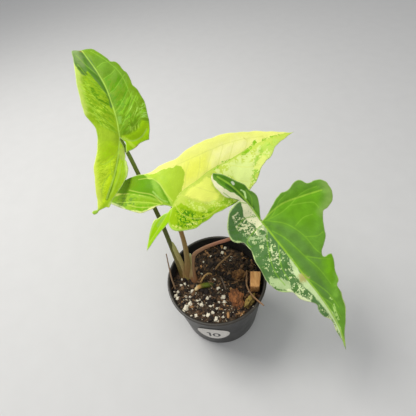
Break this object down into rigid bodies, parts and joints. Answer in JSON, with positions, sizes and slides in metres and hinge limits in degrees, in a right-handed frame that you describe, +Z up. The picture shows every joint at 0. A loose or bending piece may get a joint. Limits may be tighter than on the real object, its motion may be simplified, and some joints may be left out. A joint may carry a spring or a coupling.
{
  "type": "potted variegated syngonium",
  "caption": "Young arrowhead vine with broad arrow-shaped leaves, marbled cream and green, on slender stalks in a small round plastic nursery pot of bark and perlite mix.",
  "frame": {"origin": "centre of the pot's flat foot, on the surface that it stands on", "axes": "+Z up along the pot's axis, -Y towards the label and the viewer, +X to the viewer's right"},
  "size_m": [0.224, 0.2913, 0.2396],
  "materials": {
    "pot_plastic": "satin charcoal",
    "label_paper": "matte white sticker",
    "potting_mix": "damp, crumbly, with white perlite",
    "stem_green": "smooth olive",
    "stalk_olive": "satin",
    "stalk_brown": "satin",
    "stalk_pink": "satin",
    "leaf_lime": "glossy, marbled",
    "leaf_cream": "satin, marbled",
    "leaf_green": "satin, marbled",
    "stub_olive": "dull",
    "wood_tan": "bare wood",
    "bark_red": "rough bark",
    "bark_brown": "rough bark",
    "fibre_tan": "fibrous",
    "straw": "dry",
    "twig_grey": "dry"
  },
  "bodies": {
    "root": {"pot": "pot_plastic", "label": "label_paper", "soil": "potting_mix", "stem": "stem_green", "petiole_a": "stalk_olive", "petiole_b": "stalk_brown", "petiole_c": "stalk_pink", "leaf_a": "leaf_lime", "leaf_b": "leaf_cream", "leaf_c": "leaf_green", "cutting_stub": "stub_olive", "bark_chip_tan": "wood_tan", "bark_chip_red": "bark_red", "bark_chip_brown": "bark_brown", "fibre_lump": "fibre_tan", "dry_straw_left": "straw", "dry_root_right": "straw", "dry_root_middle": "straw", "dry_root_arc": "straw", "twig": "twig_grey"}
  },
  "joints": []
}
